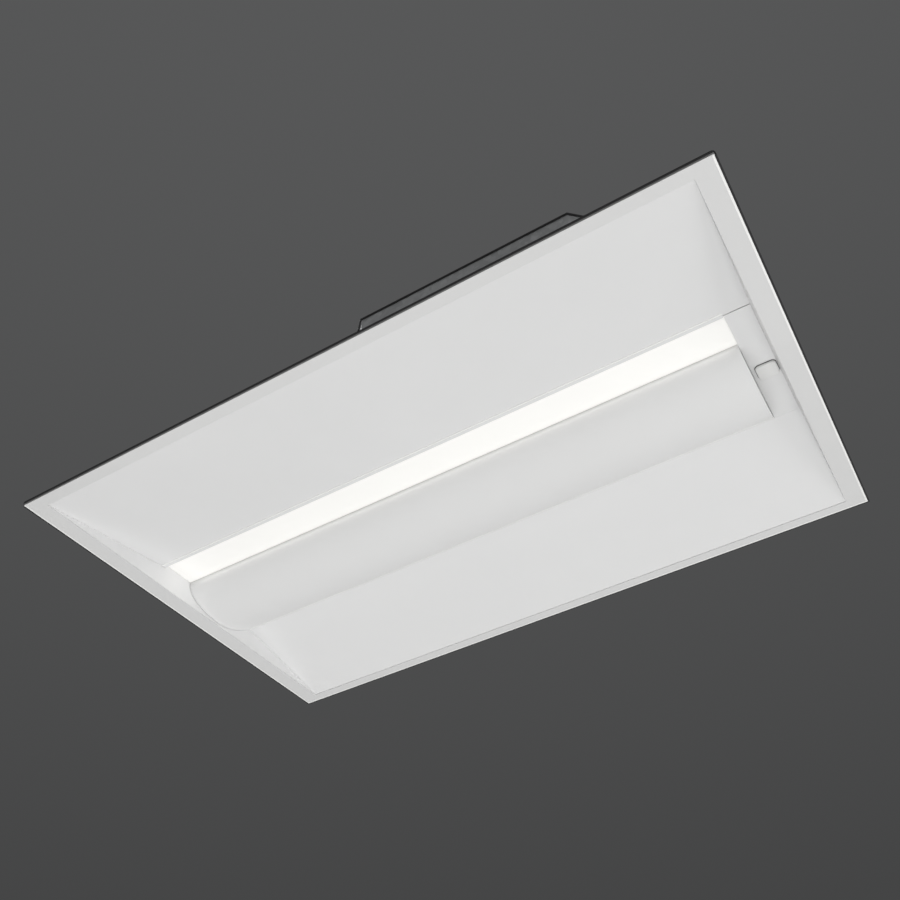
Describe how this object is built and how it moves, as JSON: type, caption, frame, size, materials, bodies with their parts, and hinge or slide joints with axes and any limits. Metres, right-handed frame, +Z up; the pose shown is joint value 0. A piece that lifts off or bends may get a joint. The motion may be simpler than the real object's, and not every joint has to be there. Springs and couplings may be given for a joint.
{
  "type": "recessed troffer light",
  "caption": "Rectangular recessed ceiling light: flanged white steel frame with sloping side panels, a long opal lens beside a hinged curved reflector, a motion sensor and a wiring box above.",
  "frame": {"origin": "centre of the underside of the trim flange, in the plane of the finished ceiling", "axes": "+X along the length, +Y from the lens side to the reflector's hinge side, +Z up into the ceiling"},
  "size_m": [0.911, 0.606, 0.086],
  "materials": {
    "white_panel": "matt white powder coat",
    "white_reflector": "fine matt white powder coat",
    "galvanised_steel": "galvanised, dull spangle",
    "spring_steel": "bright spring steel",
    "fastener_steel": "zinc plated",
    "ground_green": "green passivated screw",
    "opal_acrylic": "satin opal diffuser",
    "gasket_foam": "black closed-cell foam",
    "board_white": "white solder mask",
    "led_phosphor": "yellow phosphor under clear resin",
    "connector_nylon": "natural nylon",
    "sensor_white": "satin white moulding",
    "driver_case": "light grey enamel",
    "block_black": "black moulding",
    "terminal_grey": "grey polycarbonate",
    "lever_orange": "orange moulding",
    "lead_black": "black insulation",
    "lead_white": "white insulation",
    "lead_red": "red insulation",
    "lead_grey": "grey sheath",
    "lead_green": "green insulation"
  },
  "bodies": {
    "housing": {"trim_frame": "white_panel", "perimeter_gasket": "gasket_foam", "near_wing": "white_panel", "far_wing": "white_panel", "end_wall_left": "white_panel", "end_wall_right": "white_panel", "center_channel": "galvanised_steel", "led_tray": "white_panel", "tray_spacers": "galvanised_steel", "lens": "opal_acrylic", "led_board_left": "board_white", "led_board_right": "board_white", "leds_left": "led_phosphor", "leds_right": "led_phosphor", "board_connector": "connector_nylon", "hinge_brackets": "galvanised_steel", "hinge_pins": "fastener_steel", "door_catches": "spring_steel", "sensor_plate": "white_panel", "sensor_cover": "sensor_white", "sensor_module": "sensor_white", "led_driver": "driver_case", "driver_input_block": "block_black", "driver_output_block": "block_black", "junction_box": "galvanised_steel", "lid_hinge_pins": "fastener_steel", "cable_bushing": "block_black", "terminal_block": "terminal_grey", "wire_raceway": "galvanised_steel", "supply_lead_live": "lead_black", "supply_lead_neutral": "lead_white", "led_leads": "lead_red", "sensor_lead": "lead_grey", "wire_clips": "connector_nylon", "grid_clip_rivets": "fastener_steel", "hanger_bracket_left_near": "galvanised_steel", "hanger_bracket_left_far": "galvanised_steel", "hanger_bracket_right_near": "galvanised_steel", "hanger_bracket_right_far": "galvanised_steel", "housing_rivets": "fastener_steel", "ground_screw": "ground_green", "ground_lug": "fastener_steel", "ground_lead": "lead_green"},
    "reflector": {"curved_reflector": "white_reflector"},
    "box_lid": {"junction_box_lid": "galvanised_steel", "lid_screw": "fastener_steel", "lid_seal": "gasket_foam"},
    "live_lever": {"lever_live": "lever_orange"},
    "neutral_lever": {"lever_neutral": "lever_orange"},
    "earth_lever": {"lever_earth": "lever_orange"},
    "clip_left_near": {"grid_clip_left_near": "galvanised_steel"},
    "clip_left_far": {"grid_clip_left_far": "galvanised_steel"},
    "clip_right_near": {"grid_clip_right_near": "galvanised_steel"},
    "clip_right_far": {"grid_clip_right_far": "galvanised_steel"}
  },
  "joints": [
    {"name": "reflector_swing", "type": "hinge", "parent": "housing", "child": "reflector", "pos_m": [-0.0175, 0.10382, 0.02797], "axis": [1, 0, 0], "range_deg": [0, 85]},
    {"name": "lid_swing", "type": "hinge", "parent": "housing", "child": "box_lid", "pos_m": [0.1685, -0.1834, 0.06], "axis": [-1, 0, 0], "range_deg": [0, 105]},
    {"name": "live_lever_lift", "type": "hinge", "parent": "housing", "child": "live_lever", "pos_m": [0.2385, -0.232, 0.0293], "axis": [-1, 0, 0], "range_deg": [0, 90]},
    {"name": "neutral_lever_lift", "type": "hinge", "parent": "housing", "child": "neutral_lever", "pos_m": [0.25, -0.232, 0.0293], "axis": [-1, 0, 0], "range_deg": [0, 90]},
    {"name": "earth_lever_lift", "type": "hinge", "parent": "housing", "child": "earth_lever", "pos_m": [0.2615, -0.232, 0.0293], "axis": [-1, 0, 0], "range_deg": [0, 90]},
    {"name": "clip_turn_left_near", "type": "hinge", "parent": "housing", "child": "clip_left_near", "pos_m": [-0.4355, -0.205, 0.0088], "axis": [0, 0, -1], "range_deg": [0, 90]},
    {"name": "clip_turn_left_far", "type": "hinge", "parent": "housing", "child": "clip_left_far", "pos_m": [-0.4355, 0.205, 0.0088], "axis": [0, 0, 1], "range_deg": [0, 90]},
    {"name": "clip_turn_right_near", "type": "hinge", "parent": "housing", "child": "clip_right_near", "pos_m": [0.4355, -0.205, 0.0088], "axis": [0, 0, 1], "range_deg": [0, 90]},
    {"name": "clip_turn_right_far", "type": "hinge", "parent": "housing", "child": "clip_right_far", "pos_m": [0.4355, 0.205, 0.0088], "axis": [0, 0, -1], "range_deg": [0, 90]}
  ]
}
